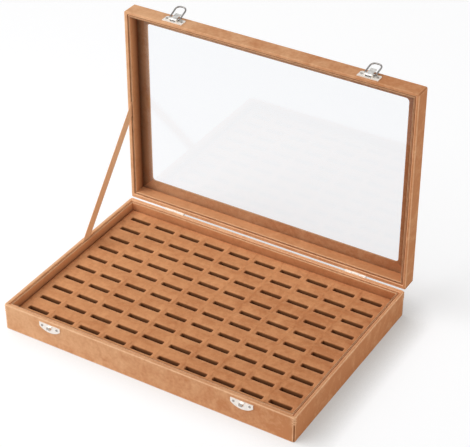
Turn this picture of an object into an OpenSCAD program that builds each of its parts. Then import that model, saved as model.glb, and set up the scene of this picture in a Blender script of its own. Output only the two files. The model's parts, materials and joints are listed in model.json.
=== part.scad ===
// Ring display box: a shallow plush-covered case with a slotted ring pad, under a glazed lid.
// Millimetres, +Z up. The origin is on the table, under the middle of the case.
// The front of the case looks towards -Y. The lid is drawn open, as it stands on its hinges.

/* [Case] */
// Outside width of the case and the lid
case_w = 350; // [320:1:420]
// Outside depth of the case and the lid
case_d = 237; // [222:1:320]
// Outside height of the case, up to its rim
case_h = 31; // [29:0.5:45]
// Thickness of the covered boards of the walls and the lid rails
wall_t = 3.5; // [3.2:0.1:5]
// Radius of the upright corners
corner_r = 2; // [1:0.1:3]
// Thickness of the bottom board
bottom_t = 2.5; // [2:0.1:3.5]
// Width of the groove between a wall and its liner
groove_w = 1; // [0.9:0.05:1.5]
// Thickness of the covered liner boards
liner_t = 2; // [1.5:0.1:3]
// How far the liners stop below the rim
liner_drop = 0.5; // [0.3:0.1:1.5]

/* [Ring pad] */
// Thickness of the board under the pad
pad_board_t = 2; // [1.5:0.1:3]
// Height of the pad itself, which is how deep a ring slot is
pad_h = 16.5; // [12:0.5:18]
// Gap between the pad and the liners round it
pad_gap = 0.3; // [0.2:0.05:0.6]
// Least width of foam between the outer slots and the edge of the pad
pad_edge = 5; // [3:0.5:7]
// Distance between neighbouring slots in a row
column_pitch = 32.7; // [30:0.1:33]
// Distance between neighbouring rows
row_pitch = 21.5; // [18:0.1:22]
// Length of a ring slot
slot_l = 25.5; // [20:0.5:27]
// Width of a ring slot
slot_w = 6; // [5:0.1:8]

/* [Lid] */
// Depth of the lid, from its rim to its outer face
lid_h = 19; // [18:0.5:28]
// Width of the frame round the glass
window_border = 18; // [14:0.5:24]
// Thickness of the frame round the glass
window_t = 2.5; // [2:0.1:3.5]
// Radius of the corners of the window in that frame
window_corner_r = 4; // [1:0.5:8]
// Thickness of the glass
glass_t = 2; // [1.8:0.1:3]
// Gap between the edge of the glass and the lid rails
glass_gap = 0.3; // [0.2:0.05:0.6]
// Gap between the two rims when the lid is shut
seam_gap = 0.4; // [0.3:0.05:0.8]
// Angle to which the lid stands open
lid_open = 90; // [80:1:100]

/* [Hinges] */
// Distance of each hinge, and of each latch, from the end of the case
fitting_in = 59; // [30:1:110]
// How far the hinge pin stands behind the back wall
pin_back = 1.8; // [1.75:0.05:2.4]
// Width of a hinge
hinge_w = 25; // [20:0.5:32]
// Height of a hinge leaf, measured from the pin
leaf_h = 12; // [10:0.5:16]
// Thickness of the sheet metal of leaves, plates and levers
sheet_t = 0.8; // [0.6:0.05:1]
// Outside radius of a hinge knuckle
knuckle_r = 1.5; // [1.3:0.05:1.55]
// Radius of the hinge pin and the lever pin
pin_r = 0.7; // [0.5:0.05:0.75]
// Running clearance between a pin and the piece that turns on it
run_gap = 0.05; // [0.03:0.01:0.08]
// Clearance between a pin and the piece that holds it
hold_gap = 0.02; // [0.01:0.005:0.05]
// Width of the middle knuckle, which belongs to the lid leaf
lid_knuckle_w = 8.6; // [6:0.2:12]
// Side gap between neighbouring knuckles, and beside a lever
side_gap = 0.2; // [0.15:0.05:0.4]
// Distance of a screw from the middle of its leaf
screw_x = 8.5; // [7:0.25:9.5]
// Distance of a screw from the hinge pin
screw_drop = 7; // [5.5:0.25:8]
// Radius of the shank of a hinge screw
screw_r = 0.8; // [0.6:0.05:1]
// Radius of the head of a hinge screw
screw_head_r = 1.6; // [1.4:0.1:2]

/* [Latches] */
// Width of a latch plate
plate_w = 24; // [22:0.5:30]
// Height of a latch plate
plate_h = 10.5; // [9:0.5:12]
// Radius of the two corners of a latch plate that are away from the rim
plate_corner_r = 2; // [1:0.25:3]
// Distance of a latch plate from the rim of the lid
plate_up = 2.5; // [1.5:0.1:3]
// Distance of the lever pin from the lower edge of its plate
lever_pin_up = 3.5; // [3:0.1:4]
// Distance of the lever pin in front of the lid
lever_pin_out = 2.4; // [2.35:0.05:2.8]
// Outside radius of the rolled end of the lever
lever_roll_r = 1.4; // [1.2:0.05:1.45]
// Width of a lever
lever_w = 6.8; // [6:0.2:9]
// Length of a lever, from its pin to its tip
lever_l = 11; // [9:0.5:13]
// How far the tip of a lever curls away from the lid
lever_curl = 0.7; // [0.3:0.1:1.2]
// Distance from the lever pin to the barrel that holds the wire loop
barrel_up = 3; // [2.9:0.05:3.3]
// Outside radius of that barrel
barrel_r = 1.35; // [1.25:0.05:1.4]
// Thickness of the ears that hold the lever pin
ear_t = 1; // [0.8:0.05:1.2]
// Radius of the wire of a loop
wire_r = 0.9; // [0.6:0.05:1]
// Gap between the ears and the legs of the loop
leg_gap = 0.7; // [0.25:0.05:1]
// Radius of the outer corners of a loop
loop_bend_r = 5; // [2.5:0.1:5.2]
// Radius of the inner corners of a loop, beside its barrel
loop_foot_r = 1.2; // [1.1:0.1:1.5]
// Angle at which the left loop stands up from the lid
left_loop_rest = 24; // [5:1:60]
// Angle at which the right loop stands up from the lid
right_loop_rest = 12; // [5:1:60]

/* [Keepers] */
// Width of a keeper
keeper_w = 26; // [22:0.5:30]
// Height of a keeper
keeper_h = 10.2; // [9:0.1:11]
// Radius of the round lower edge of a keeper
keeper_round_r = 19; // [17:0.5:24]
// Distance of the flat upper edge of a keeper below the rim of the case
keeper_drop = 3.5; // [2.5:0.1:5]
// Width of the hook on a keeper
hook_w = 4; // [3:0.2:4.4]
// Distance of the top of the hook below the flat edge of its keeper
hook_drop = 2; // [1.6:0.1:3]
// Length of the lip of the hook, from its top
hook_lip = 2.8; // [2:0.1:3.2]
// Height of the opening that the hook is cut and bent out of, below the hook
hook_window = 3.6; // [2.6:0.1:4]
// Clearance round the wire in the hook
hook_gap = 0.15; // [0.1:0.05:0.3]
// Distance of a nail from the middle of a keeper or a latch plate
nail_x = 9.25; // [8.5:0.25:10]
// Distance of a keeper's nails below its flat edge
keeper_nail_drop = 3.3; // [2:0.1:4]
// Radius of the shank of a nail
nail_r = 0.6; // [0.5:0.05:0.7]
// Radius of the head of a nail
nail_head_r = 1.3; // [1:0.1:1.6]
// Thickness of the heads of nails and screws
head_t = 0.5; // [0.4:0.05:0.7]
// How deep nails and screws reach into the board
shank_l = 3; // [2:0.1:3.1]

/* [Strap] */
// Width of the ribbon strap that stops the lid
strap_w = 11; // [8:0.5:14]
// Thickness of the strap
strap_t = 0.8; // [0.5:0.05:0.85]
// Distance from the hinge pin to the strap, along the rim of the case
strap_case_reach = 95; // [80:1:105]
// Distance from the hinge pin to the strap, along the rim of the lid
strap_lid_reach = 117; // [100:1:130]
// Length of strap that is glued into the groove at each end
strap_tuck = 9; // [6:0.5:12]

/* [Hidden] */

$fn = 48;
plush = [0.79, 0.55, 0.39];
plush_shade = [0.74, 0.50, 0.35];
nickel = [0.78, 0.78, 0.75];
card = [0.62, 0.52, 0.42];
clear_glass = [0.85, 0.93, 0.93, 0.35];

// The four sides of both trays, and the two ends of whatever comes in a pair
FRONT = "front";
RIGHT = "right";
BACK = "back";
LEFT = "left";
BOTH = [-1, 1];

// Places along the walls
lid_seam = case_h + seam_gap;
liner_inset = wall_t + groove_w;
inner_w = case_w - 2 * (liner_inset + liner_t);
inner_d = case_d - 2 * (liner_inset + liner_t);
pad_w = inner_w - 2 * pad_gap;
pad_d = inner_d - 2 * pad_gap;
pad_base = bottom_t + pad_board_t;
glass_low = lid_h - window_t - glass_t;
fitting_x = case_w / 2 - fitting_in;

// The slots that the pad has room for, in a row and from front to back
slot_columns = 1 + floor((pad_w - slot_l - 2 * pad_edge) / column_pitch);
slot_rows = 1 + floor((pad_d - slot_w - 2 * pad_edge) / row_pitch);

// The hinge pin's place
pin_y = case_d / 2 + pin_back;
pin_z = case_h + seam_gap / 2;
knuckle_clear = knuckle_r + 2 * side_gap;

// The latch, measured up from the lid's rim and out from the front of the lid
lever_pin_t = plate_up + lever_pin_up;
barrel_t = lever_pin_t + barrel_up;
barrel_out = sheet_t + side_gap + barrel_r;
blade_out = lever_pin_out + lever_roll_r;
leg_x = lever_w / 2 + side_gap + ear_t + leg_gap + wire_r;

// The hook's seat for the wire, in heights above the table
hook_top = case_h - keeper_drop - hook_drop;
seat_z = hook_top - sheet_t - hook_gap - wire_r;
seat_out = sheet_t + hook_gap + wire_r;
hook_slot = 2 * (wire_r + hook_gap);

// The loop reaches from its barrel to the hook's seat when the lid is shut
loop_fall = lid_seam + barrel_t - seat_z;
loop_l = sqrt(pow(loop_fall, 2) + pow(barrel_out - seat_out, 2));

// ---------------------------------------------------------------- shared outlines

// A plan with four round corners
module rounded_plan(w, d, r) {
    square([w - 2 * r, d], center = true);
    square([w, d - 2 * r], center = true);
    for (sx = BOTH, sy = BOTH)
        translate([sx * (w / 2 - r), sy * (d / 2 - r)]) circle(r);
}

// The turn about Z that takes the front side of a tray to another side
function side_turn(side) = side == FRONT ? 0 : side == RIGHT ? 90 : side == BACK ? 180 : 270;

// The plan of one side of a frame, with its ends mitred
module mitred_plan(side, w, d, t) {
    long = (side == FRONT || side == BACK) ? w : d;
    away = (side == FRONT || side == BACK) ? d : w;
    rotate(side_turn(side)) polygon([
        [-long / 2, -away / 2],
        [long / 2, -away / 2],
        [long / 2 - t, t - away / 2],
        [t - long / 2, t - away / 2]
    ]);
}

// A mitred outer board, whose ends share the round corners of the box
module outer_board(side, t, low, high) {
    translate([0, 0, low]) linear_extrude(high - low) intersection() {
        mitred_plan(side, case_w, case_d, t);
        rounded_plan(case_w, case_d, corner_r);
    }
}

// A mitred liner board, which stands inside the walls with a groove between
module liner_board(side, low, high) {
    translate([0, 0, low]) linear_extrude(high - low)
        mitred_plan(side, case_w - 2 * liner_inset, case_d - 2 * liner_inset, liner_t);
}

// Places its children, drawn on the shut lid, where the open lid holds them
module on_lid() {
    translate([0, pin_y, pin_z]) rotate([-lid_open, 0, 0]) translate([0, -pin_y, -pin_z]) children();
}

// Lays a profile of [up, out] on the front of the box, and gives it a width along X
module across_front(x, z, w) {
    translate([x - w / 2, -case_d / 2, z]) rotate([180, -90, 0]) linear_extrude(w) children();
}

// A round rod along X, through a point that is given as [x, y, z]
module rod_x(place, r, l) {
    translate(place) rotate([0, 90, 0]) cylinder(h = l, r = r, center = true);
}

// ---------------------------------------------------------------- nails and screws

// A nail or a screw that is driven into a face towards +Y, with its head on sheet metal
module driven(r, head_r) {
    rotate([-90, 0, 0]) cylinder(h = shank_l, r = r);
    rotate([90, 0, 0]) cylinder(h = sheet_t, r = r);
    translate([0, -sheet_t, 0]) rotate([90, 0, 0]) cylinder(h = head_t, r = head_r);
}

// The hole for it, through the sheet and into the board
module driven_hole(r) {
    depth = shank_l + side_gap;
    translate([0, -2 * sheet_t, 0]) rotate([-90, 0, 0])
        cylinder(h = depth + 2 * sheet_t, r = r + hold_gap);
}

// The places of the nails of one keeper, from the middle of the rim of the case
module at_keeper_nails(side) {
    for (s = BOTH)
        translate([side * fitting_x + s * nail_x, -case_d / 2, case_h - keeper_drop - keeper_nail_drop])
            children();
}

// The places of the nails of one latch plate, on the shut lid
module at_plate_nails(side) {
    for (s = BOTH)
        translate([side * fitting_x + s * nail_x, -case_d / 2, lid_seam + plate_up + plate_h / 2])
            children();
}

// The places of the screws of one hinge leaf, below the pin or above it
module at_leaf_screws(side, way) {
    for (s = BOTH)
        translate([side * fitting_x + s * screw_x, case_d / 2, pin_z + way * screw_drop])
            rotate([0, 0, 180]) children();
}

// ---------------------------------------------------------------- the case

module case_front_wall() {
    color(plush) difference() {
        outer_board(FRONT, wall_t, 0, case_h);
        for (side = BOTH) at_keeper_nails(side) driven_hole(nail_r);
    }
}

module case_back_wall() {
    color(plush) difference() {
        outer_board(BACK, wall_t, 0, case_h);
        for (side = BOTH) at_leaf_screws(side, -1) driven_hole(screw_r);
    }
}

module case_side_wall(side) {
    color(plush) outer_board(side, wall_t, 0, case_h);
}

module case_bottom() {
    color(plush_shade) translate([0, 0, bottom_t / 2])
        cube([case_w - 2 * wall_t, case_d - 2 * wall_t, bottom_t], center = true);
}

module case_liner(side) {
    color(plush_shade) liner_board(side, bottom_t, case_h - liner_drop);
}

// ---------------------------------------------------------------- the ring pad

// The middle of a column and of a row of slots
function column_x(i) = (i - (slot_columns - 1) / 2) * column_pitch;
function row_y(j) = (j - (slot_rows - 1) / 2) * row_pitch;

module pad_board() {
    color(card) translate([0, 0, bottom_t + pad_board_t / 2])
        cube([pad_w, pad_d, pad_board_t], center = true);
}

// A block of foam on the pad board, between two places along X and two along Y
module pad_block(x0, x1, y0, y1) {
    translate([x0, y0, pad_base]) cube([x1 - x0, y1 - y0, pad_h]);
}

// Covered foam strips that run the width of the pad, one more than there are rows
module pad_strips() {
    color(plush) for (j = [0 : slot_rows]) {
        front = j == 0 ? -pad_d / 2 : row_y(j - 1) + slot_w / 2;
        back = j == slot_rows ? pad_d / 2 : row_y(j) - slot_w / 2;
        pad_block(-pad_w / 2, pad_w / 2, front, back);
    }
}

// Short foam blocks between the strips, which part each row into its slots
module pad_dividers() {
    color(plush) for (j = [0 : slot_rows - 1], i = [0 : slot_columns]) {
        left = i == 0 ? -pad_w / 2 : column_x(i - 1) + slot_l / 2;
        right = i == slot_columns ? pad_w / 2 : column_x(i) - slot_l / 2;
        pad_block(left, right, row_y(j) - slot_w / 2, row_y(j) + slot_w / 2);
    }
}

// ---------------------------------------------------------------- keepers

// The half-moon outline of a keeper, below its flat edge
module keeper_plan() {
    intersection() {
        translate([-keeper_w / 2, -keeper_h]) square([keeper_w, keeper_h]);
        translate([0, keeper_round_r - keeper_h]) circle(keeper_round_r, $fn = 96);
    }
}

// The hook in profile, as [up, out]: a shelf that stands out, and a lip that turns down
module hook_profile() {
    lip_out = sheet_t + hook_slot;
    translate([hook_top - sheet_t, 0]) square([sheet_t, lip_out + sheet_t]);
    translate([hook_top - hook_lip, lip_out]) square([hook_lip, sheet_t]);
}

module keeper(side) {
    flat_z = case_h - keeper_drop;
    color(nickel) difference() {
        union() {
            translate([side * fitting_x, -case_d / 2, flat_z]) rotate([90, 0, 0])
                linear_extrude(sheet_t) keeper_plan();
            across_front(side * fitting_x, 0, hook_w) hook_profile();
        }
        at_keeper_nails(side) driven_hole(nail_r);
        across_front(side * fitting_x, 0, hook_w)
            translate([hook_top - sheet_t - hook_window, -hook_gap])
            square([hook_window, sheet_t + 2 * hook_gap]);
    }
}

module keeper_nails() {
    color(nickel) for (side = BOTH) at_keeper_nails(side) driven(nail_r, nail_head_r);
}

// ---------------------------------------------------------------- hinges

// One leaf: way is -1 below the pin and 1 above it, spans are the [from, to] of its knuckles
module hinge_leaf(side, way, spans, bore_r) {
    far = way * leaf_h;
    near = way * knuckle_clear;
    color(nickel) translate([side * fitting_x, case_d / 2, pin_z]) difference() {
        union() {
            translate([-hinge_w / 2, 0, min(near, far)])
                cube([hinge_w, sheet_t, leaf_h - knuckle_clear]);
            for (span = spans) {
                translate([span[0], 0, min(0, near)])
                    cube([span[1] - span[0], sheet_t, knuckle_clear]);
                rod_x([(span[0] + span[1]) / 2, pin_back, 0], knuckle_r, span[1] - span[0]);
            }
        }
        rod_x([0, pin_back, 0], bore_r, 2 * hinge_w);
        for (s = BOTH) translate([s * screw_x, 0, way * screw_drop])
            rotate([90, 0, 0]) cylinder(h = 4 * sheet_t, r = screw_r + hold_gap, center = true);
    }
}

module case_leaf(side) {
    inner = lid_knuckle_w / 2 + side_gap;
    hinge_leaf(side, -1, [[-hinge_w / 2, -inner], [inner, hinge_w / 2]], pin_r + hold_gap);
}

module lid_leaf(side) {
    on_lid() hinge_leaf(side, 1, [[-lid_knuckle_w / 2, lid_knuckle_w / 2]], pin_r + run_gap);
}

module hinge_pins() {
    color(nickel) for (side = BOTH) rod_x([side * fitting_x, pin_y, pin_z], pin_r, hinge_w);
}

module hinge_screws(way) {
    color(nickel) for (side = BOTH) at_leaf_screws(side, way) driven(screw_r, screw_head_r);
}

// ---------------------------------------------------------------- the strap

// A flat ribbon in the left grooves, straight from the rim of the case to the rim of the open lid
module support_strap() {
    from = [pin_y - strap_case_reach, case_h];
    to = [pin_y + strap_lid_reach * cos(lid_open), pin_z + strap_lid_reach * sin(lid_open)];
    lean = atan2(to[1] - from[1], to[0] - from[0]);
    free_l = norm(to - from);
    color(plush_shade)
        translate([-case_w / 2 + wall_t + groove_w / 2 - strap_t / 2, from[0], from[1]])
        rotate([lean, 0, 0])
        translate([0, -strap_tuck, -strap_w / 2])
        cube([strap_t, free_l + 2 * strap_tuck, strap_w]);
}

// ---------------------------------------------------------------- the lid

module lid_front_rail() {
    color(plush) on_lid() difference() {
        outer_board(FRONT, wall_t, lid_seam, lid_seam + lid_h - window_t);
        for (side = BOTH) at_plate_nails(side) driven_hole(nail_r);
    }
}

module lid_back_rail() {
    color(plush) on_lid() difference() {
        outer_board(BACK, wall_t, lid_seam, lid_seam + lid_h - window_t);
        for (side = BOTH) at_leaf_screws(side, 1) driven_hole(screw_r);
    }
}

module lid_side_rail(side) {
    color(plush) on_lid() outer_board(side, wall_t, lid_seam, lid_seam + lid_h - window_t);
}

// One mitred strip of the frame that shows round the glass, with half of two round corners
module window_strip(side) {
    low = lid_seam + lid_h - window_t;
    border_w = 2 * window_border;
    color(plush) on_lid() difference() {
        outer_board(side, window_border + window_corner_r, low, low + window_t);
        translate([0, 0, low - window_t]) linear_extrude(3 * window_t)
            rounded_plan(case_w - border_w, case_d - border_w, window_corner_r);
    }
}

module glass_pane() {
    inset = 2 * (wall_t + glass_gap);
    color(clear_glass) on_lid() translate([0, 0, lid_seam + glass_low + glass_t / 2])
        cube([case_w - inset, case_d - inset, glass_t], center = true);
}

module lid_liner(side) {
    color(plush_shade) on_lid() liner_board(side, lid_seam + liner_drop, lid_seam + glass_low);
}

// ---------------------------------------------------------------- latches

// Places its children at the lever pin, in a profile of [up, out]
module at_lever_pin() {
    translate([lever_pin_t, lever_pin_out]) children();
}

// One ear in profile: a post that ends in a round eye
module ear_profile() {
    difference() {
        union() {
            translate([lever_pin_t - lever_roll_r, 0]) square([2 * lever_roll_r, lever_pin_out]);
            at_lever_pin() circle(lever_roll_r);
        }
        at_lever_pin() circle(pin_r + hold_gap);
    }
}

// The outline of a latch plate, above its lower edge
module plate_plan() {
    corner_x = plate_w / 2 - plate_corner_r;
    translate([-plate_w / 2, 0]) square([plate_w, plate_h - plate_corner_r]);
    translate([-corner_x, 0]) square([2 * corner_x, plate_h]);
    for (s = BOTH) translate([s * corner_x, plate_h - plate_corner_r]) circle(plate_corner_r);
}

module latch_plate(side) {
    ear_x = lever_w / 2 + side_gap + ear_t / 2;
    color(nickel) on_lid() difference() {
        union() {
            translate([side * fitting_x, -case_d / 2, lid_seam + plate_up]) rotate([90, 0, 0])
                linear_extrude(sheet_t) plate_plan();
            for (s = BOTH)
                across_front(side * fitting_x + s * ear_x, lid_seam, ear_t) ear_profile();
        }
        at_plate_nails(side) driven_hole(nail_r);
    }
}

module latch_nails() {
    color(nickel) on_lid() for (side = BOTH) at_plate_nails(side) driven(nail_r, nail_head_r);
}

module lever_pin(side) {
    pin_l = lever_w + 2 * (side_gap + ear_t);
    color(nickel) on_lid()
        rod_x([side * fitting_x, -case_d / 2 - lever_pin_out, lid_seam + lever_pin_t], pin_r, pin_l);
}

// The lever in profile: a rolled end on the pin, a barrel for the wire, and a blade over both
module lever_profile() {
    tip_t = lever_pin_t + lever_l;
    bend_t = tip_t - 4 * lever_curl;
    difference() {
        union() {
            at_lever_pin() circle(lever_roll_r);
            translate([barrel_t, barrel_out]) circle(barrel_r);
            polygon([
                [lever_pin_t, blade_out - sheet_t],
                [bend_t, blade_out - sheet_t],
                [tip_t, blade_out - sheet_t + lever_curl],
                [tip_t, blade_out + lever_curl],
                [bend_t, blade_out],
                [lever_pin_t, blade_out]
            ]);
            translate([lever_pin_t, lever_pin_out])
                square([barrel_up, lever_roll_r - sheet_t / 2]);
        }
        at_lever_pin() circle(pin_r + run_gap);
        translate([barrel_t, barrel_out]) circle(wire_r + run_gap);
    }
}

module latch_lever(side) {
    color(nickel) on_lid() across_front(side * fitting_x, lid_seam, lever_w) lever_profile();
}

// A quarter of a bend of the wire, in the XY plane, from +X round to +Y
module wire_bend(r) {
    rotate_extrude(angle = 90, $fn = 48) translate([r, 0]) circle(wire_r, $fn = 24);
}

// A straight length of the wire along X or Y, from a point in the XY plane
module wire_x(x0, x1, y) {
    translate([x0, y, 0]) rotate([0, 90, 0]) cylinder(h = x1 - x0, r = wire_r, $fn = 24);
}

module wire_y(x, y0, y1) {
    translate([x, y0, 0]) rotate([-90, 0, 0]) cylinder(h = y1 - y0, r = wire_r, $fn = 24);
}

// The D-shaped wire in the XY plane: its bar lies on X, and its round end points to +Y
module loop_wire() {
    foot_x = leg_x - loop_foot_r;
    bend_x = leg_x - loop_bend_r;
    bend_y = loop_l - loop_bend_r;
    wire_x(-foot_x, foot_x, 0);
    wire_x(-bend_x, bend_x, loop_l);
    wire_y(leg_x, loop_foot_r, bend_y);
    wire_y(-leg_x, loop_foot_r, bend_y);
    translate([foot_x, loop_foot_r, 0]) rotate(-90) wire_bend(loop_foot_r);
    translate([-foot_x, loop_foot_r, 0]) rotate(180) wire_bend(loop_foot_r);
    translate([bend_x, bend_y, 0]) wire_bend(loop_bend_r);
    translate([-bend_x, bend_y, 0]) rotate(90) wire_bend(loop_bend_r);
}

module latch_loop(side, rest_angle) {
    color(nickel) on_lid()
        translate([side * fitting_x, -case_d / 2 - barrel_out, lid_seam + barrel_t])
        rotate([90 + rest_angle, 0, 0])
        loop_wire();
}

// ---------------------------------------------------------------- the pieces

case_front_wall();
case_back_wall();
case_side_wall(LEFT);  // case_left_wall
case_side_wall(RIGHT);  // case_right_wall
case_bottom();
case_liner(FRONT);  // case_front_liner
case_liner(BACK);  // case_back_liner
case_liner(LEFT);  // case_left_liner
case_liner(RIGHT);  // case_right_liner
pad_board();
pad_strips();
pad_dividers();
keeper(-1);  // left_keeper
keeper(1);  // right_keeper
keeper_nails();
case_leaf(-1);  // left_hinge_case_leaf
case_leaf(1);  // right_hinge_case_leaf
hinge_pins();
hinge_screws(-1);  // case_hinge_screws
support_strap();
lid_front_rail();
lid_back_rail();
lid_side_rail(LEFT);  // lid_left_rail
lid_side_rail(RIGHT);  // lid_right_rail
window_strip(FRONT);  // window_front_strip
window_strip(BACK);  // window_back_strip
window_strip(LEFT);  // window_left_strip
window_strip(RIGHT);  // window_right_strip
glass_pane();
lid_liner(FRONT);  // lid_front_liner
lid_liner(BACK);  // lid_back_liner
lid_liner(LEFT);  // lid_left_liner
lid_liner(RIGHT);  // lid_right_liner
lid_leaf(-1);  // left_hinge_lid_leaf
lid_leaf(1);  // right_hinge_lid_leaf
on_lid() hinge_screws(1);  // lid_hinge_screws
latch_plate(-1);  // left_latch_plate
latch_plate(1);  // right_latch_plate
latch_nails();
lever_pin(-1);  // left_lever_pin
lever_pin(1);  // right_lever_pin
latch_lever(-1);  // left_latch_lever
latch_lever(1);  // right_latch_lever
latch_loop(-1, left_loop_rest);  // left_latch_loop
latch_loop(1, right_loop_rest);  // right_latch_loop
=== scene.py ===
"""Ring display box: a low plush-covered case with a foam ring pad and a hinged glass lid, standing open."""
import json
from math import cos, pi, radians, sin

import bmesh
import bpy
import numpy as np
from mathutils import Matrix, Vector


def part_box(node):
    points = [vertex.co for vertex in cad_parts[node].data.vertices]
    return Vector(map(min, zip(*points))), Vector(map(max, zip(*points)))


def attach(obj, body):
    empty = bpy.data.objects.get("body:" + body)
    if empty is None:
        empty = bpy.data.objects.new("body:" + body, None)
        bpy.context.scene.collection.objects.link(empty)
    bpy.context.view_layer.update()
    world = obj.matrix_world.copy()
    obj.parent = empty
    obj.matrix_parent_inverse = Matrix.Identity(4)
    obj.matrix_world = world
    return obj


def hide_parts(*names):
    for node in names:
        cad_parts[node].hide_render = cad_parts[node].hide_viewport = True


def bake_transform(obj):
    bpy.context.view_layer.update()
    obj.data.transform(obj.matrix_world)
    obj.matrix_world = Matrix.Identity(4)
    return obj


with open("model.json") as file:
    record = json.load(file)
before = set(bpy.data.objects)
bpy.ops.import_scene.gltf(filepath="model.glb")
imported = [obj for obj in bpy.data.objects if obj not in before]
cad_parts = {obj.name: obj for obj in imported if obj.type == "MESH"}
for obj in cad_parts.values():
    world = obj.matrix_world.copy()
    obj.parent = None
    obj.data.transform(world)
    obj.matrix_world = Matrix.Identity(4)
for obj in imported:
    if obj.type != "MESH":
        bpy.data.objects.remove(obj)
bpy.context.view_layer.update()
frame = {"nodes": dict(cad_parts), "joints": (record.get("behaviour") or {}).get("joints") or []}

# ---------------------------------------------------------------- Camera
# The box is looked down on from its front right corner, through a long lens
# that keeps its edges nearly parallel. The camera aims at the middle of the
# open box, a little above the ring pad.
AIM = np.array((0.0005, 0.060, 0.0913))
DISTANCE = 1.7034
AZIMUTH = radians(31.1)
ELEVATION = radians(34.4)
LENS_MM = 123

outward = np.array((sin(AZIMUTH) * cos(ELEVATION), -cos(AZIMUTH) * cos(ELEVATION), sin(ELEVATION)))
camera = bpy.data.objects.new("camera", bpy.data.cameras.new("camera"))
camera.data.lens = LENS_MM
camera.location = AIM + DISTANCE * outward
camera.rotation_euler = (pi / 2 - ELEVATION, 0, AZIMUTH)
bpy.context.collection.objects.link(camera)
bpy.context.scene.camera = camera
bpy.context.scene.view_settings.view_transform = "Standard"


# ---------------------------------------------------------------- Studio
# A white table that runs on past the picture, under a big soft lamp and a
# small near one from the front left, and a weaker warm one from the right.
# The table looks white, and still takes the soft shadow of the box, partly cast by the lamps and partly
# painted.
class Socket:
    """A node's output. Sums, products, quotients and powers of sockets and numbers add Math nodes."""

    def __init__(self, nodes, output):
        self.nodes = nodes
        self.output = output

    def maths(self, operation, *values):
        return self.nodes.add("ShaderNodeMath", {"operation": operation}, dict(enumerate(values)))

    def __add__(self, other):
        return self.maths("ADD", self, other)

    def __sub__(self, other):
        return self.maths("SUBTRACT", self, other)

    def __rsub__(self, other):
        return self.maths("SUBTRACT", other, self)

    def __mul__(self, other):
        return self.maths("MULTIPLY", self, other)

    def __truediv__(self, other):
        return self.maths("DIVIDE", self, other)

    def __pow__(self, other):
        return self.maths("POWER", self, other)

    __radd__ = __add__
    __rmul__ = __mul__

    def least(self, other):
        return self.maths("MINIMUM", self, other)

    def most(self, other):
        return self.maths("MAXIMUM", self, other)

    def held(self):
        """The value, held between 0 and 1."""
        return self.least(1).most(0)


class Nodes:
    """The node tree of one material, or of the world, emptied and built up by add()."""

    def __init__(self, owner):
        owner.use_nodes = True
        self.tree = owner.node_tree
        self.tree.nodes.clear()

    def add(self, kind, settings=None, sockets=None, out=0):
        """One node: first its settings, then the values or links of its sockets. Gives its output out."""
        node = self.tree.nodes.new(kind)
        for name, value in (settings or {}).items():
            setattr(node, name, value)
        for name, value in (sockets or {}).items():
            if isinstance(value, Socket):
                self.tree.links.new(value.output, node.inputs[name])
            elif isinstance(value, tuple) and len(value) == 3 and node.inputs[name].type == "RGBA":
                node.inputs[name].default_value = (*value, 1)
            else:
                node.inputs[name].default_value = value
        return Socket(self, node.outputs[out]) if node.outputs else None

    def tint(self, mask, first, second, how="MIX"):
        """The first colour where mask is 0 and the second where it is 1. For colours, a Mix node uses the
        inputs 6 and 7 and the output 2."""
        settings = {"data_type": "RGBA", "blend_type": how}
        return self.add("ShaderNodeMix", settings, {0: mask, 6: first, 7: second}, out=2)

    def seen(self):
        """1 for rays that show a surface straight, through glass or by way of metal, and 0 for light."""
        straight = self.add("ShaderNodeLightPath", out="Is Camera Ray")
        rays = straight.output.node.outputs
        through, mirrored = (Socket(self, rays[name]) for name in ("Is Transmission Ray", "Is Glossy Ray"))
        return straight.most(through).most(mirrored)


TABLE_R = 12.0
TABLE_SIDES = 64
TABLE_COLOUR = (0.86, 0.855, 0.85)
TABLE_SHADE = (0.46, 0.465, 0.475)
TABLE_GLOW = 0.60
SKY_LIGHT = 0.36
# The painted shadow beside the box: its colour, how far it reaches and how it is sampled.
PAINTED_SHADOW_COLOUR = (0.43, 0.42, 0.39)
PAINTED_SHADOW_REACH = 0.037
PAINTED_SHADOW_SAMPLES = 8
LAMP_SIDE = (-0.80, -0.35, 0.49)

angles = np.arange(TABLE_SIDES) * 2 * pi / TABLE_SIDES
ring = np.stack((np.cos(angles), np.sin(angles), 0 * angles), axis=1) * TABLE_R
table_mesh = bpy.data.meshes.new("table")
table_mesh.from_pydata(ring.tolist(), [], [list(range(TABLE_SIDES))])
table = bpy.data.objects.new("table", table_mesh)
bpy.context.collection.objects.link(table)

# Light meets a plain white table. The camera sees a darker one that glows as well, so that its lit part looks
# white and its shadow stays. A painted shadow darkens it further in the corner under the box, on the side
# away from the lamps.
table_mesh.materials.append(bpy.data.materials.new("table"))
nodes = Nodes(table_mesh.materials[0])
plain = nodes.add("ShaderNodeBsdfDiffuse", None, {"Color": TABLE_COLOUR})
lamp_side = nodes.add("ShaderNodeCombineXYZ", None, dict(enumerate(LAMP_SIDE)))
unshadowed_share = nodes.add("ShaderNodeAmbientOcclusion", {"samples": PAINTED_SHADOW_SAMPLES},
                       {"Distance": PAINTED_SHADOW_REACH, "Normal": lamp_side}, out="AO")
shadow_tone = nodes.tint(unshadowed_share, PAINTED_SHADOW_COLOUR, (1.0, 1.0, 1.0))
shade = nodes.add("ShaderNodeBsdfDiffuse", None, {"Color": nodes.tint(1.0, shadow_tone, TABLE_SHADE, "MULTIPLY")})
glow = nodes.add("ShaderNodeEmission", None, {"Color": shadow_tone, "Strength": TABLE_GLOW})
lit = nodes.add("ShaderNodeAddShader", None, {0: shade, 1: glow})
look = nodes.add("ShaderNodeMixShader", None, {0: nodes.seen(), 1: plain, 2: lit})
nodes.add("ShaderNodeOutputMaterial", None, {"Surface": look})

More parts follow.
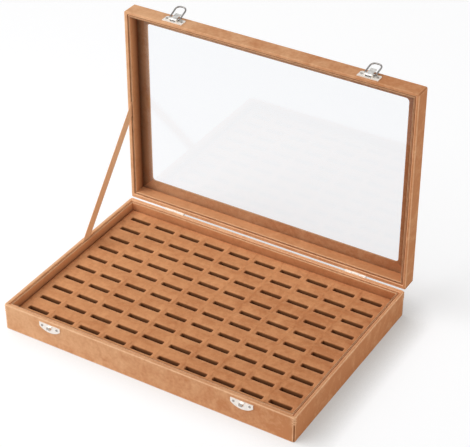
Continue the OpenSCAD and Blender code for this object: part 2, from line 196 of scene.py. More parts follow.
world = bpy.data.worlds.new("studio")
bpy.context.scene.world = world
nodes = Nodes(world)
strength = SKY_LIGHT + nodes.seen() * (1 - SKY_LIGHT)
sky = nodes.add("ShaderNodeBackground", None, {"Strength": strength})
nodes.add("ShaderNodeOutputWorld", None, {"Surface": sky})


def aimed(name, kind, azimuth, elevation, away, energy):
    """A lamp that looks at the box from azimuth, turned from the front to the right, and elevation."""
    turn, tilt = radians(azimuth), radians(elevation)
    lamp = bpy.data.objects.new(name, bpy.data.lights.new(name, kind))
    lamp.location = AIM + away * np.array((sin(turn) * cos(tilt), -cos(turn) * cos(tilt), sin(tilt)))
    lamp.rotation_euler = (pi / 2 - tilt, 0, turn)
    lamp.data.energy = energy
    bpy.context.collection.objects.link(lamp)
    return lamp.data


key_lamp = aimed("key_lamp", "SUN", azimuth=-51, elevation=50, away=3.0, energy=1.70)
key_lamp.angle = radians(48)
side_lamp = aimed("side_lamp", "AREA", azimuth=-62, elevation=24, away=0.85, energy=1.7)
side_lamp.shape = "DISK"
side_lamp.size = 0.5
fill_lamp = aimed("fill_lamp", "SUN", azimuth=80, elevation=12, away=3.0, energy=1.02)
fill_lamp.angle = radians(60)
fill_lamp.color = (1.0, 0.92, 0.82)


# ---------------------------------------------------------------- Case walls
# Four boards 3.5 mm thick form the sides of the case. Each is wrapped in tan
# plush, which turns over the rim and is drawn together in a seam down each
# corner, with a small pucker where the seam meets the rim.
MM = 0.001
ARC_STEPS = 5
HOLD = 0.3
GRID_STEP = 1.5
BOARD_STEPS = 110
TURN_STEPS = 8
TURN_EASE = 0.8
MERGE_GAP = 2e-6


def rounded(corners):
    """The outline of a board's section. Each corner (depth, height, radius) becomes an arc that leaves both
    sides square: a point on it is the arc's centre plus a turn from one tangent point to the other. The
    outline runs on straight for HOLD at both ends of the arc."""
    corners = np.array(corners, float)
    place, radius = corners[:, :2], corners[:, 2:]
    before = np.roll(place, 1, axis=0) - place
    after = np.roll(place, -1, axis=0) - place
    before /= np.linalg.norm(before, axis=1, keepdims=True)
    after /= np.linalg.norm(after, axis=1, keepdims=True)
    centre = place + radius * (before + after)
    turn = np.linspace(0, pi / 2, ARC_STEPS)[None, :, None]
    spoke = after[:, None] * np.cos(turn) + before[:, None] * np.sin(turn)
    arc = centre[:, None] - radius[:, None] * spoke
    first = arc[:, :1] + HOLD * before[:, None]
    last = arc[:, -1:] + HOLD * after[:, None]
    return np.concatenate((first, arc, last), axis=1).reshape(-1, 2)


def refined(section):
    """The same closed outline with further points along it, one at every GRID_STEP of its length."""
    closed = np.vstack((section, section[:1]))
    way = np.concatenate(([0], np.cumsum(np.hypot(*np.diff(closed, axis=0).T))))
    places = np.unique(np.concatenate((way, np.arange(0, way[-1], GRID_STEP))))[:-1]
    return np.stack((np.interp(places, way, closed[:, 0]), np.interp(places, way, closed[:, 1])), axis=1)


def waves(points, size, height):
    """A slow unevenness of the cover: three crossed sine waves of about that size, in mm."""
    x, y, z = np.moveaxis(points / size, -1, 0)
    crossed = np.sin(2.1 * x + 1.3 * z) + np.sin(1.7 * y - 2.3 * z + 1) + np.sin(3.1 * (x + y) + z)
    return height * crossed / 3


def along_board(section, half, centre_depth):
    """Carries a section along one side of a mitred frame. A point at some depth runs straight to where its
    corner's arc starts, and then round the arc's centre by 45 degrees, to the mitre. Also gives that turn,
    which is 1 on the mitre, and the way to the mitre over the outside of the corner."""
    depth, height = section[:, 0], section[:, 1]
    straight = np.sin(np.linspace(-pi / 2, pi / 2, BOARD_STEPS))
    turn = np.linspace(0, 1, TURN_STEPS + 1)[1:] ** TURN_EASE * pi / 4
    share = np.concatenate((-np.ones(TURN_STEPS), straight, np.ones(TURN_STEPS)))[:, None]
    angle = np.concatenate((-turn[::-1], np.zeros(BOARD_STEPS), turn))[:, None]
    radius = centre_depth - depth
    run = share * (half - centre_depth) + radius * np.sin(angle)
    inward = centre_depth - radius * np.cos(angle)
    to_mitre = (1 - np.abs(share)) * (half - centre_depth) + centre_depth * (pi / 4 - np.abs(angle))
    return run, inward, np.broadcast_to(height, run.shape), angle / (pi / 4), to_mitre


def on_side(run, inward, height, side, half_size):
    """Places a board of the front, right, back or left side, seen from above: inward is counted from its own
    outer face, and each side further on is the front board turned by one more quarter."""
    x, y = run, inward - half_size[1 - side % 2]
    for _ in range(side):
        x, y = -y, x
    return np.stack((x, y, height), axis=-1)


def skin(name, grid, body, node_names, material, edge=None):
    """A closed piece from a grid of points in mm: quads between neighbours, round the section, and a flat
    face at each end."""
    rows, columns = grid.shape[:2]
    number = np.arange(rows * columns).reshape(rows, columns)
    near, far = number[:-1], number[1:]
    quads = np.stack((near, np.roll(near, -1, 1), np.roll(far, -1, 1), far), axis=-1).reshape(-1, 4)
    mesh = bpy.data.meshes.new(name)
    faces = quads.tolist() + [number[0].tolist(), number[-1].tolist()]
    mesh.from_pydata((grid.reshape(-1, 3) * MM).tolist(), [], faces)
    if edge is not None:
        mesh.attributes.new("edge", "FLOAT", "POINT").data.foreach_set("value", edge.ravel())
    return finished(name, mesh, body, node_names, material)


def finished(name, mesh, body, node_names, material):
    """Merges points that fall together, turns the faces outwards, smooths the mesh and hands it to its body,
    nodes and finish. A piece without a body is left without one."""
    shape = bmesh.new()
    shape.from_mesh(mesh)
    bmesh.ops.remove_doubles(shape, verts=shape.verts, dist=MERGE_GAP)
    bmesh.ops.recalc_face_normals(shape, faces=shape.faces)
    shape.to_mesh(mesh)
    shape.free()
    mesh.shade_smooth()
    mesh.materials.append(material)
    piece = bpy.data.objects.new(name, mesh)
    bpy.context.collection.objects.link(piece)
    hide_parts(*node_names)
    if body:
        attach(piece, body)
    return piece


# Noise cells of the pile in one metre, and how its patches and mottle mix.
PATCHES, MOTTLES, TUFTS = 42, 260, 2600
PATCH_SHARE = 0.55
NAP_CONTRAST = 2.8
NAP_BALANCE = 0.48
# How much the worn edges, with their painted highlight, follow the mottle.
WEAR_HIGHLIGHT_LEAST, WEAR_HIGHLIGHT_MOTTLE = 0.35, 0.9


def plush(name, dark, light, wear_and_highlight, shade_and_seam, sheen, painted_falloff):
    """Short-pile plush: slow brushed patches and a fine mottle between two shades. The dark one gains more
    and more to the right, as painted shade away from the lamps on the left. Where the attribute edge is above
    0 the pile looks worn, with painted highlight, and where it is below 0 it gets painted shade, also in the
    seams.
    Tufts make the bump, and the sheen is soft."""
    material = bpy.data.materials.new(name)
    nodes = Nodes(material)
    place = nodes.add("ShaderNodeTexCoord", out="Object")
    brushed = nodes.add("ShaderNodeTexNoise", None,
                        {"Vector": place, "Scale": PATCHES, "Detail": 3, "Distortion": 1.2})
    mottle = nodes.add("ShaderNodeTexNoise", None,
                       {"Vector": place, "Scale": MOTTLES, "Detail": 4, "Roughness": 0.6})
    pile = nodes.add("ShaderNodeTexNoise", None, {"Vector": place, "Scale": TUFTS, "Detail": 2})
    across = nodes.add("ShaderNodeSeparateXYZ", None, {"Vector": place}, out="X")
    nap = brushed * PATCH_SHARE + mottle * (1 - PATCH_SHARE) - 0.5
    mask = (nap * NAP_CONTRAST + NAP_BALANCE - painted_falloff * across).held()
    edge = nodes.add("ShaderNodeAttribute", {"attribute_name": "edge"}, out="Fac")
    colour = nodes.tint(mask, dark, light)
    colour = nodes.tint(edge.most(0) * (WEAR_HIGHLIGHT_LEAST + WEAR_HIGHLIGHT_MOTTLE * mottle), colour, wear_and_highlight)
    colour = nodes.tint((0 - edge).most(0), colour, shade_and_seam)
    height = pile * 0.6 + mottle * 0.4
    bump = nodes.add("ShaderNodeBump", None, {"Height": height, "Strength": 0.35, "Distance": 0.0004})
    shader = nodes.add("ShaderNodeBsdfPrincipled", None, {
        "Base Color": colour, "Roughness": 0.78 + 0.2 * mottle, "Normal": bump, "Specular IOR Level": 0.1,
        "Sheen Weight": sheen, "Sheen Roughness": 0.45, "Sheen Tint": (1.0, 0.72, 0.48, 1)})
    nodes.add("ShaderNodeOutputMaterial", None, {"Surface": shader})
    return material


outer_plush = plush("outer_plush", dark=(0.59, 0.248, 0.107), light=(0.80, 0.452, 0.246),
                    wear_and_highlight=(0.94, 0.59, 0.355), shade_and_seam=(0.15, 0.046, 0.013), sheen=0.08, painted_falloff=2.3)

SIDE_NAMES = ("front", "right", "back", "left")
BACK = SIDE_NAMES.index("back")
front_low, front_high = (np.array(corner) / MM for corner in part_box("case_front_wall"))
CASE_HALF = np.array((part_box("case_right_wall")[1][0] / MM, -front_low[1]))
CASE_H = front_high[2]
WALL_T = front_high[1] - front_low[1]
CORNER_R = 2.0
FOOT_R = 0.6
HIDDEN_R = 0.1
INNER_RIM_R = 0.8
OUTER_RIM_R = 0.45

SEAM_DEPTH = 0.9
SEAM_SPREAD = 0.5
SEAM_HALF = 0.75
SEAM_SOFT = 0.2
SEAM_DARK = 0.58
PUCKER_DROP = 8.5
PUCKER_FADE = 3.0
PUCKER_R = 3.6
PUCKER_CORE = 1.3
FOLD_H = 0.45
FOLD_TURN = 2.1
FOLD_SLANT = 1.5
KNOT_LIGHT, KNOT_FOLD = 0.75, 0.7
WAVE_SIZE, WAVE_H = 22, 0.10
FACE_T = 0.6


def drawn_in(to_mitre, below):
    """How much of the pucker there is: all of it near the mitre, less further off, and none below it."""
    return np.clip(PUCKER_CORE - to_mitre / PUCKER_R, 0, 1) * (1 - below)


def seam_marks(to_mitre, below, fold=0.0):
    """How the pile looks beside a corner seam: dark (below 0) in the seam, a dark joint with painted shade in
    its crease, painted highlight on either side of it, and painted highlight on the ridges of the pucker's
    folds, fading in their hollows. to_mitre is in mm, below is 0 over the pucker and 1 under it, and fold
    runs from -1 to 1 over each fold."""
    dark = SEAM_DARK * np.clip((SEAM_HALF - to_mitre) / SEAM_SOFT, 0, 1) * below
    beside = np.clip(1 - np.abs(to_mitre - 2 * SEAM_HALF) / SEAM_HALF, 0, 1)
    knot = drawn_in(to_mitre, below) * (KNOT_LIGHT - KNOT_FOLD * fold)
    return np.where(dark > 0, -dark, np.maximum(beside, knot))


def wall_cover(section, side):
    """One wrapped board of the case. Near a corner the cover dips into a seam, deepest on the mitre and below
    the pucker. Over the pucker it swells in small folds, and its face is a little uneven. Points move along
    the corner's radius. Also gives the marks of the seam."""
    depth = section[:, 0]
    centre_depth = np.maximum(depth, CORNER_R)
    run, inward, height, turn, to_mitre = along_board(section, CASE_HALF[side % 2], centre_depth)
    drop = CASE_H - height
    skin_share = np.clip(1 - depth / CORNER_R, 0, 1)
    near_seam = np.clip((np.abs(turn) - 1 + SEAM_SPREAD) / SEAM_SPREAD, 0, 1)
    below = np.clip((drop - PUCKER_DROP) / PUCKER_FADE, 0, 1)
    fold = np.sin(FOLD_TURN * drop + FOLD_SLANT * to_mitre)
    dip = SEAM_DEPTH * near_seam ** 2 * below
    pull = (dip + FOLD_H * fold * drawn_in(to_mitre, below)) * skin_share
    angle = turn * pi / 4
    run = run - pull * np.sin(angle)
    inward = inward + pull * np.cos(angle)
    points = on_side(run, inward, height, side, CASE_HALF)
    on_face = np.clip(1 - depth / FACE_T, 0, 1) * (1 - np.abs(turn))
    inward = inward + waves(points, WAVE_SIZE, WAVE_H) * on_face
    return on_side(run, inward, height, side, CASE_HALF), seam_marks(to_mitre, below, fold) * skin_share


# The pile stands out behind the back boards, and fills most of the groove between wall and liner.
BACK_PILE = 1.0
GROOVE_PILE = 0.95
GROOVE_DEPTH = 1.7
GROOVE_TOP = 0.9
FILLED = WALL_T + GROOVE_PILE
NUDGE = 0.01
PIN_Y, PIN_Z = np.array(frame["joints"][0]["pos_m"])[1:] / MM
LEAF_X = np.array(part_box("right_hinge_case_leaf"))[:, 0] / MM
PRESS_X = LEAF_X.mean()
PRESS_BESIDE = 4.0
PRESS_HALF = np.ptp(LEAF_X) / 2 + PRESS_BESIDE
PRESS_FADE = 4.0
PRESS_CLEAR = 1.2
PRESSED = 0.3


def pressed(points):
    """Back covers with their long pile pressed thin under the hinge leaves: of what stands out behind the
    board only a share is kept there. It grows back beside the leaves, and close to the rim."""
    x, y, z = np.moveaxis(points, -1, 0)
    beside = np.abs(np.abs(x) - PRESS_X) - PRESS_HALF
    under_leaf = np.clip(1 - beside / PRESS_FADE, 0, 1) * np.clip(np.abs(z - PIN_Z) - PRESS_CLEAR, 0, 1)
    behind = np.clip(y - CASE_HALF[1], 0, None)
    return np.stack((x, y - behind * (1 - PRESSED) * under_leaf, z), axis=-1)


INSET = 0.2
FULL_EDGE_SHARE = 1.25


def edge_share(section, corners, reach):
    """1 on the rounded corners named, falling to 0 a little past that reach from them."""
    gap = np.min([np.hypot(section[:, 0] - d, section[:, 1] - h) for d, h in corners], axis=0)
    return np.clip(FULL_EDGE_SHARE - gap / reach, 0, 1)


# How worn, with painted highlight (above 0), or darkened by painted shade (below 0) the pile is along the
# edges of the front, right, back and left wall. The inner rim on the left gets painted shade where it turns
# away into the groove, and so does the foot of the right wall.
OUTER_REACH, INNER_REACH, FOOT_REACH = 0.75, 1.1, 0.7
INNER_RIM_WEAR_AND_SHADE = (0.5, 0.5, 0.7, -0.85)
FOOT_WEAR_AND_SHADE = (0.3, -0.5, 0.3, 0.5)
GROOVE_SHADE = (0.15, 0.15, 0.15, 0.6)
for side, side_name in enumerate(SIDE_NAMES):
    face = -BACK_PILE if side == BACK else 0
    groove_z = CASE_H - GROOVE_DEPTH
    section = refined(rounded([
        (face, 0, FOOT_R), (FILLED, 0, HIDDEN_R), (FILLED, groove_z, HIDDEN_R), (WALL_T, groove_z, HIDDEN_R),
        (WALL_T, CASE_H, INNER_RIM_R), (face, CASE_H, OUTER_RIM_R)]))
    grid, marks = wall_cover(section, side)
    outer_rim = edge_share(section, [(INSET, CASE_H - INSET)], OUTER_REACH)
    inner_rim = INNER_RIM_WEAR_AND_SHADE[side] * edge_share(section, [(WALL_T - INSET, CASE_H - INSET)], INNER_REACH)
    edge = np.where(outer_rim > 0, np.maximum(outer_rim, inner_rim), inner_rim)
    edge = edge + FOOT_WEAR_AND_SHADE[side] * edge_share(section, [(INSET, INSET)], FOOT_REACH)
    in_groove = (section[:, 0] > WALL_T - NUDGE) & (section[:, 1] < CASE_H - GROOVE_TOP)
    edge = np.where(in_groove, -GROOVE_SHADE[side], edge)
    skin(f"case_{side_name}_wall_cover", pressed(grid), "case", [f"case_{side_name}_wall"],
         outer_plush, np.where(marks < 0, marks, np.maximum(edge, marks)))

# ---------------------------------------------------------------- Case liners
# Thin boards wrapped in the same plush stand inside the walls, with a narrow
# groove between. Their tops are round, because the cover is pulled tight over
# the bare edge of the board, and they hold the ring pad.
inner_plush = plush("inner_plush", dark=(0.53, 0.218, 0.089), light=(0.69, 0.330, 0.155),
                    wear_and_highlight=(0.94, 0.58, 0.34), shade_and_seam=(0.15, 0.046, 0.013), sheen=0.06, painted_falloff=2.5)
liner_low, liner_high = (np.array(corner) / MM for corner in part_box("case_front_liner"))
LINER_HALF = np.array((liner_high[0], -liner_low[1]))
LINER_T = liner_high[1] - liner_low[1]
LINER_FOOT_R = 0.2
LINER_ROUND = 0.48
LINER_REACH = 0.7
# Painted shade at the foot of the case liners, front, right, back and left.
CASE_LINER_SHADE = (0.3, 0.3, 1.0, 1.6)


def liner_cover(name, side, low, high, foot_shade, body="case", turn_over=None):
    """One liner board: a section with a fully round top, mitred at both ends. The pile looks worn on the top,
    with painted highlight, and gets more and more painted shade below it, most at its foot."""
    section = rounded([(0, low, LINER_FOOT_R), (LINER_T, low, LINER_FOOT_R),
                       (LINER_T, high, LINER_T * LINER_ROUND), (0, high, LINER_T * LINER_ROUND)])
    run, inward, height, _, _ = along_board(section, LINER_HALF[side % 2], section[:, 0])
    grid = on_side(run, inward, height, side, LINER_HALF)
    if turn_over:
        grid = turn_over(grid)
    edge = edge_share(section, [(LINER_T / 2, high)], LINER_REACH * LINER_T)
    edge = edge - foot_shade * np.clip((high - section[:, 1]) / (high - low), 0, 1)
    edge = np.where((section[:, 0] < NUDGE) & (edge <= 0), -GROOVE_SHADE[side], edge)
    edge = np.broadcast_to(edge, grid.shape[:2])
    skin(f"{name}_cover", grid, body, [name], inner_plush, edge)


for side, side_name in enumerate(SIDE_NAMES):
    liner_cover(f"case_{side_name}_liner", side, liner_low[2], liner_high[2], CASE_LINER_SHADE[side])

# ---------------------------------------------------------------- Case bottom
# The bottom board closes the case from below. It is covered too, and a plain
# card lies on it under the ring pad.
CARD_DARK = (0.16, 0.13, 0.11)
CARD_LIGHT = (0.26, 0.22, 0.19)
CARD_FIBRES = 900

for board_slot in frame["nodes"]["case_bottom"].material_slots:
    board_slot.material = inner_plush

card = bpy.data.materials.new("grey_card")
nodes = Nodes(card)
place = nodes.add("ShaderNodeTexCoord", out="Object")
fibres = nodes.add("ShaderNodeTexNoise", None, {"Vector": place, "Scale": CARD_FIBRES, "Detail": 5})
shader = nodes.add("ShaderNodeBsdfPrincipled", None, {
    "Base Color": nodes.tint(fibres, CARD_DARK, CARD_LIGHT), "Roughness": 0.85 + 0.1 * fibres})
nodes.add("ShaderNodeOutputMaterial", None, {"Surface": shader})
frame["nodes"]["pad_board"].material_slots[0].material = card

# ---------------------------------------------------------------- Ring pad
# A slab of foam under one sheet of plush, with ten rows of ten slots. The
# plush is pushed down into each slot, so its lips are round, and the foam
# swells a little between them.
COLUMNS, ROWS = 10, 10
PITCH = np.array((32.7, 21.5))
SLOT_HALF = np.array((25.5, 6.0)) / 2
SLOT_CORNER_R = 0.9
SLOT_SQUEEZE = 0.4
LIP_R = 1.6
CROWN = 0.55
PAD_EDGE_R = 2.2
PAD_EDGE_DROP = 1.5
PAD_EDGE_TURN = 0.98
SIDE_DROP = 3.5
SLOT_WALL_DROP = 5.0
SLOT_FOOT_RISE = 2.0
AROUND = 48
FACE_SHARES = np.array((0, 0.1, 0.25, 0.45, 0.65, 0.82, 1))
pad_low, pad_high = (np.array(corner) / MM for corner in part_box("pad_strips"))
pad_half = pad_high[:2]

# Painted highlight (above 0) and painted shade (below 0) on each row of points, from the pad's side over its
# face and the lip, down into the slot and under the pad.
SIDE_PAINTED_SHADING, FACE_PAINTED_SHADING, UNDER_PAINTED_SHADING = -0.1, 0.15, -1.0
LIP_PAINTED_SHADING = (0.3, 0.15, -0.15, -0.45, -0.7)
SLOT_PAINTED_SHADING = (-0.9, -1.0, -1.0)


def round_box(half, radius):
    """A rectangle with round corners as one closed row of points: each corner is its centre plus the radius
    in the direction of the angle, and a straight run of points leads on to the next."""
    steps = AROUND // 4
    straight = steps * 2 // 3
    turn = np.linspace(0, pi / 2, steps - straight)
    signs = np.array(((1, 1), (-1, 1), (-1, -1), (1, -1)))
    points = []
    for quarter in range(4):
        angle = turn + quarter * pi / 2
        spokes = radius * np.stack((np.cos(angle), np.sin(angle)), axis=1)
        arc = signs[quarter] * (half - radius) + spokes
        target = signs[(quarter + 1) % 4] * (half - radius) + spokes[-1]
        share = np.linspace(0, 1, straight + 2)[1:-1, None]
        points += [arc, arc[-1] + share * (target - arc[-1])]
    return np.concatenate(points)


def pad_surface():
    """One closed surface over all cells. In each cell the rows of points go from the cell's border inwards
    to the slot's lip, a quarter turn round the lip, down the slot's wall and back under the pad to the
    border. The crown is a squared cosine from border to lip. Also gives the painted highlight and painted
    shade of each row of points, and which points of the border lie on the rim of the whole pad."""
    centre_x = (np.arange(COLUMNS) - (COLUMNS - 1) / 2) * PITCH[0]
    centre_y = (np.arange(ROWS) - (ROWS - 1) / 2) * PITCH[1]
    centre = np.stack(np.meshgrid(centre_x, centre_y, indexing="ij"), axis=-1)[:, :, None, :]
    inner = centre + round_box(SLOT_HALF - SLOT_SQUEEZE, SLOT_CORNER_R)
    shoulder = centre + round_box(SLOT_HALF - SLOT_SQUEEZE + LIP_R, SLOT_CORNER_R + LIP_R)
    border = centre + round_box(PITCH / 2, 0.0)
    on_rim = np.abs(border) > np.array((COLUMNS, ROWS)) * PITCH / 2 - NUDGE
    border = np.where(on_rim, np.sign(border) * pad_half, border)

    face = border[..., None, :] + FACE_SHARES[:, None] * (shoulder - border)[..., None, :]
    from_rim = np.clip(1 - np.min(pad_half - np.abs(face), axis=-1) / PAD_EDGE_R, 0, 1)
    crown = CROWN * np.cos(pi * FACE_SHARES / 2) ** 2
    rounding = PAD_EDGE_DROP * (1 - np.sqrt(1 - from_rim ** 2 * PAD_EDGE_TURN))
    face_z = pad_high[2] - CROWN / 2 + crown - rounding

    drop = np.linspace(0, pi / 2, len(LIP_PAINTED_SHADING) + 1)[1:]
    lip = shoulder[..., None, :] + np.sin(drop)[:, None] * (inner - shoulder)[..., None, :]
    lip_z = np.broadcast_to(pad_high[2] - CROWN / 2 - LIP_R * (1 - np.cos(drop)), lip.shape[:-1])
    wall = np.repeat(inner[..., None, :], len(SLOT_PAINTED_SHADING), axis=-2)
    wall_z = np.broadcast_to((pad_high[2] - SLOT_WALL_DROP, pad_low[2] + SLOT_FOOT_RISE, pad_low[2]),
                             wall.shape[:-1])
    edge = border[..., None, :]
    side_z = np.full(edge.shape[:-1], pad_high[2] - SIDE_DROP)
    under_z = np.full(edge.shape[:-1], pad_low[2])
    plan = np.concatenate((edge, face, lip, wall, edge), axis=-2)
    height = np.concatenate((side_z, face_z, lip_z, wall_z, under_z), axis=-1)
    pad_painted_shading = np.concatenate(((SIDE_PAINTED_SHADING,), np.linspace(0, FACE_PAINTED_SHADING, FACE_SHARES.size), LIP_PAINTED_SHADING, SLOT_PAINTED_SHADING,
                              (UNDER_PAINTED_SHADING,)))
    points = np.concatenate((plan, height[..., None]), axis=-1)
    return points, np.broadcast_to(pad_painted_shading, height.shape), on_rim.any(-1)


pad_plush = plush("pad_plush", dark=(0.50, 0.192, 0.074), light=(0.71, 0.330, 0.145),
                  wear_and_highlight=(0.80, 0.45, 0.25), shade_and_seam=(0.10, 0.032, 0.010), sheen=0.07, painted_falloff=1.4)
cells, pad_painted_shading, on_rim = pad_surface()
number = np.arange(pad_painted_shading.size).reshape(pad_painted_shading.shape)
beside = np.roll(number, -1, axis=2)
quads = np.stack((number[..., :-1], beside[..., :-1], beside[..., 1:], number[..., 1:]), axis=-1)
closing = np.stack((number[..., -1], beside[..., -1], beside[..., 0], number[..., 0]), axis=-1)
rim_pair = on_rim & np.roll(on_rim, -1, axis=2)
pad_faces = np.concatenate((quads[..., 1:, :].reshape(-1, 4), quads[..., 0, :][rim_pair], closing[rim_pair]))
pad_mesh = bpy.data.meshes.new("ring_pad")
pad_mesh.from_pydata((cells.reshape(-1, 3) * MM).tolist(), [], pad_faces.tolist())
pad_mesh.attributes.new("edge", "FLOAT", "POINT").data.foreach_set("value", pad_painted_shading.ravel())
ring_pad = finished("ring_pad", pad_mesh, "case", ["pad_strips", "pad_dividers"], pad_plush)

# ---------------------------------------------------------------- Fittings
# Keepers, hinges, latch plates, levers, pins and nails are stamped, drilled
# and rolled from nickel-plated steel. The plating is bright, with a faint
# unevenness and fine rubbing marks.
CLOUDS, RUBS = 260, 1500
HOOK_SHADE = 1.2
ROLL_SHADE = 0.6
BEVEL_W = 0.25


def plated(name, dull, bright, metallic, roughness, shade_axis=None, shade_to=0.0, dark=(0.06, 0.045, 0.04)):
    """Plated steel: clouds of tarnish between two shades, fine rubbing marks in gloss and bump. Where an axis
    is given, the metal gets painted shade up to a given place on it, in metres, which clears over the next
    millimetre."""
    material = bpy.data.materials.new(name)
    nodes = Nodes(material)
    place = nodes.add("ShaderNodeTexCoord", out="Object")
    cloudy = nodes.add("ShaderNodeTexNoise", None, {"Vector": place, "Scale": CLOUDS, "Detail": 3})
    rubbed = nodes.add("ShaderNodeTexNoise", None,
                       {"Vector": place, "Scale": RUBS, "Detail": 2, "Distortion": 1.5})
    bump = nodes.add("ShaderNodeBump", None,
                     {"Height": cloudy * 0.7 + rubbed * 0.3, "Strength": 0.05, "Distance": 0.0002})
    colour = nodes.tint(((cloudy - 0.5) * 3 + 0.5).held(), dull, bright)
    if shade_axis:
        along = nodes.add("ShaderNodeSeparateXYZ", None, {"Vector": place}, out=shade_axis)
        colour = nodes.tint(((along - shade_to) / MM).held(), dark, colour)
    shader = nodes.add("ShaderNodeBsdfPrincipled", None, {
        "Base Color": colour, "Metallic": metallic, "Roughness": roughness + 0.12 * rubbed, "Normal": bump})
    nodes.add("ShaderNodeOutputMaterial", None, {"Surface": shader})
    return material


# The bent hook of a keeper stands in front of its plate, and the rolled end of a lever turns away under it.
# Both get painted shade, darker than the rest.
hook_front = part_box("left_keeper")[0][1]
roll_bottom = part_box("left_latch_lever")[0][2]
# The warm cream of keepers and plates is partly a painted reflection of the plush.
keeper_nickel = plated("keeper_nickel", (0.88, 0.82, 0.75), (0.98, 0.94, 0.89), metallic=0.6, roughness=0.26,
                       shade_axis="Y", shade_to=hook_front + HOOK_SHADE * MM, dark=(0.46, 0.43, 0.40))
plate_nickel = plated("plate_nickel", (0.93, 0.86, 0.78), (0.99, 0.95, 0.89), metallic=0.05, roughness=0.26)
lever_nickel = plated("lever_nickel", (0.62, 0.60, 0.57), (0.86, 0.84, 0.81), metallic=0.72, roughness=0.16,
                      shade_axis="Z", shade_to=roll_bottom + ROLL_SHADE * MM)
# The wire loops are painted dark, a painted reflection of darker surroundings, and nails, screws and pins are
# painted dark as painted shade.
wire_dark_reflection = plated("wire_dark_reflection", (0.19, 0.18, 0.172), (0.36, 0.34, 0.325), metallic=1.0, roughness=0.24)
painted_shade_steel = plated("painted_shade_steel", (0.30, 0.27, 0.245), (0.46, 0.42, 0.39), metallic=1.0, roughness=0.34)
FINISH_WORDS = (
    ("nails", painted_shade_steel), ("screws", painted_shade_steel), ("pin", painted_shade_steel), ("loop", wire_dark_reflection),
    ("lever", lever_nickel), ("keeper", keeper_nickel), ("plate", plate_nickel), ("hinge", plate_nickel))
for node_name, node in frame["nodes"].items():
    finish = next((look for word, look in FINISH_WORDS if word in node_name), None)
    if finish:
        node.material_slots[0].material = finish
        if "loop" not in node_name:
            rounding = node.modifiers.new("rounding", "BEVEL")
            rounding.width = BEVEL_W * MM
            rounding.segments = 2
            rounding.limit_method = "ANGLE"

# ---------------------------------------------------------------- Lid frame
# Each side of the lid is a rail board with a flat window strip glued on its
# outer edge. One piece of plush wraps both, from the rim over the outside to
# the window, which has small round corners.
rail_low, rail_high = (np.array(corner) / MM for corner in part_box("lid_right_rail"))
LID_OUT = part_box("window_right_strip")[1][1] / MM
WINDOW_IN = 18.0
WINDOW_CORNER_R = 4.0
WINDOW_EDGE_W = 1.6
LID_EDGE_R, WINDOW_EDGE_R, STRIP_EDGE_R = 0.8, 0.9, 0.5
LID_SEAM = 0.28
BEHIND_GLASS = 0.6

# Wear with painted highlight, and painted shade, as on the case, of the front, right, back and left side. The
# strips get two painted shades, one by the window and one by the liner.
RIM_WEAR_AND_HIGHLIGHT = (0.25, 0.8, 1.0, 1.0)
LID_GROOVE_SHADE = (0.7, 0.15, 0.15, 0.6)
STRIP_SHADE = ((0.1, 0.5), (0.2, 0.9), (0.0, 0.15), (0.2, 0.8))


def opened(points):
    """The lid as it stands open: a point of the shut lid, turned back by 90 degrees about the hinge pins."""
    x, y, z = np.moveaxis(points, -1, 0)
    return np.stack((x, PIN_Y + (z - PIN_Z), PIN_Z - (y - PIN_Y)), axis=-1)


# Heights in the shut lid, from its rim up to its outer face.
rim_z = PIN_Z + rail_low[1] - PIN_Y
out_z = PIN_Z + LID_OUT - PIN_Y
strip_z = PIN_Z + rail_high[1] - PIN_Y
for side, side_name in enumerate(SIDE_NAMES):
    face = -BACK_PILE if side == BACK else 0
    groove_z = rim_z + GROOVE_DEPTH
    section = refined(rounded([
        (WALL_T, rim_z, INNER_RIM_R), (face, rim_z, OUTER_RIM_R), (face, out_z, LID_EDGE_R),
        (WINDOW_IN, out_z, WINDOW_EDGE_R), (WINDOW_IN, strip_z, STRIP_EDGE_R), (FILLED, strip_z, HIDDEN_R),
        (FILLED, groove_z, HIDDEN_R), (WALL_T, groove_z, HIDDEN_R)]))
    depth, height = section[:, 0], section[:, 1]
    by_window_edge = depth > WINDOW_IN - WINDOW_EDGE_W
    centre_depth = np.where(by_window_edge, WINDOW_IN + WINDOW_CORNER_R, np.maximum(depth, CORNER_R))
    run, inward, level, _, to_mitre = along_board(section, CASE_HALF[side % 2], centre_depth)
    grid = opened(pressed(on_side(run, inward, level, side, CASE_HALF)))

    rim_wear_and_highlight = RIM_WEAR_AND_HIGHLIGHT[side] * edge_share(section, [(INSET, rim_z + INSET)], OUTER_REACH)
    wear_and_highlight = edge_share(section, [(WALL_T - INSET, rim_z + INSET), (INSET, out_z - INSET),
                                (WINDOW_IN, out_z - INSET)], OUTER_REACH)
    marks = LID_SEAM * seam_marks(to_mitre, 1.0) * np.clip(1 - depth / CORNER_R, 0, 1)
    edge = np.where(marks < 0, marks, np.maximum(np.maximum(wear_and_highlight, rim_wear_and_highlight), marks))
    between = (depth > WALL_T - NUDGE) & (depth < FILLED + NUDGE)
    in_groove = between & (height > rim_z + GROOVE_TOP) & (height < strip_z + NUDGE)
    edge = np.where(in_groove, -LID_GROOVE_SHADE[side], edge)
    behind_glass = (height < strip_z + BEHIND_GLASS) & (depth > FILLED + NUDGE)
    near_window = np.clip((depth - WALL_T) / (WINDOW_IN - WALL_T), 0, 1)
    by_window, by_liner = STRIP_SHADE[side]
    edge = np.where(behind_glass, -(by_liner + (by_window - by_liner) * near_window), edge)
    skin(f"lid_{side_name}_cover", grid, "lid", [f"lid_{side_name}_rail", f"window_{side_name}_strip"],
         outer_plush, edge)

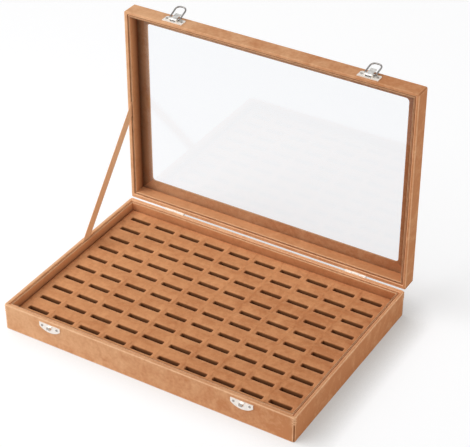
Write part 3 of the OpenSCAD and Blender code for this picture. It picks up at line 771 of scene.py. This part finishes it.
# ---------------------------------------------------------------- Lid liners
# Four thin wrapped boards stand inside the rails and press the glass pane
# against the window strips. Their round edges lie just below the lid's rim.
# Painted shade at the foot of the lid liners, front, right, back and left.
LID_LINER_SHADE = (0.3, 0.3, 0.0, 1.0)
lid_liner_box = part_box("lid_right_liner")
liner_rim_z = PIN_Z + lid_liner_box[0][1] / MM - PIN_Y
liner_glass_z = PIN_Z + lid_liner_box[1][1] / MM - PIN_Y


def turned_over(points):
    """A liner made with its round edge up is turned over, so that this edge looks down, and then opened."""
    x, y, z = np.moveaxis(points, -1, 0)
    return opened(np.stack((x, y, liner_rim_z + liner_glass_z - z), axis=-1))


for side, side_name in enumerate(SIDE_NAMES):
    liner_cover(f"lid_{side_name}_liner", side, liner_rim_z, liner_glass_z, LID_LINER_SHADE[side],
                body="lid", turn_over=turned_over)

# ---------------------------------------------------------------- Glass
# A single pane of thin float glass, clear with a faint cool cast, lies behind
# the liners. It mirrors 4 parts in 100, more at a slant, and lets lamp light
# straight through.
GLASS_COLOUR = (0.980, 0.985, 0.992)
GLASS_MIRROR = 0.04

glass = bpy.data.materials.new("pane_glass")
nodes = Nodes(glass)
clear = nodes.add("ShaderNodeBsdfTransparent", None, {"Color": GLASS_COLOUR})
mirror = nodes.add("ShaderNodeBsdfAnisotropic", {"distribution": "GGX"}, {"Roughness": 0.0})
slant = nodes.add("ShaderNodeLayerWeight", None, {"Blend": 0.5}, out="Facing")
mirrored = GLASS_MIRROR + (1 - GLASS_MIRROR) * slant ** 5
pane = nodes.add("ShaderNodeMixShader", None, {0: mirrored, 1: clear, 2: mirror})
nodes.add("ShaderNodeOutputMaterial", None, {"Surface": pane})
frame["nodes"]["glass_pane"].material_slots[0].material = glass

# ---------------------------------------------------------------- Strap
# A flat woven ribbon on the left, tucked in beside the liners of case and
# lid, stops the lid when it stands upright.
STRAP_W = 11.0
STRAP_T = 0.6
STRAP_STEPS = 40
STRAP_INSET = STRAP_W * np.array((0, 0.36, 0.34))
RIBBON_DARK = (0.90, 0.52, 0.27)
RIBBON_LIGHT = (1.0, 0.64, 0.37)
RIBS = 110
CROSS_RIBS = 6

ribbon = bpy.data.materials.new("ribbon")
nodes = Nodes(ribbon)
uv = nodes.add("ShaderNodeTexCoord", out="UV")
weave = nodes.add("ShaderNodeTexWave", {"bands_direction": "X"},
                  {"Vector": uv, "Scale": RIBS, "Distortion": 0.4})
cross = nodes.add("ShaderNodeTexWave", {"bands_direction": "Y"},
                  {"Vector": uv, "Scale": CROSS_RIBS, "Distortion": 0.2})
bump = nodes.add("ShaderNodeBump", None, {"Height": weave * cross, "Strength": 0.4, "Distance": 0.0002})
shader = nodes.add("ShaderNodeBsdfPrincipled", None, {
    "Base Color": nodes.tint(weave, RIBBON_DARK, RIBBON_LIGHT), "Roughness": 0.62 + 0.15 * cross,
    "Normal": bump, "Sheen Weight": 0.25})
nodes.add("ShaderNodeOutputMaterial", None, {"Surface": shader})

# The ends of the ribbon's middle line lie half its width in from the corners of the solid's box.
strap_low, strap_high = (np.array(corner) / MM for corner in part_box("support_strap"))
strap_x = (strap_low[0] + strap_high[0]) / 2
low_end = np.array((strap_x, *(strap_low + STRAP_INSET)[1:]))
high_end = np.array((strap_x, *(strap_high - STRAP_INSET)[1:]))
way = (high_end - low_end) / np.linalg.norm(high_end - low_end)
across = STRAP_W * np.cross(way, (1, 0, 0))
through = STRAP_T * np.array((1.0, 0, 0))
section = np.array([(-0.5, -0.35), (-0.46, -0.5), (0.46, -0.5), (0.5, -0.35),
                    (0.5, 0.35), (0.46, 0.5), (-0.46, 0.5), (-0.5, 0.35)])
share = np.linspace(0, 1, STRAP_STEPS)[:, None, None]
grid = low_end + share * (high_end - low_end) + section[:, :1] * across + section[:, 1:] * through
strap = skin("support_ribbon", grid, None, ["support_strap"], ribbon)
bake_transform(strap)
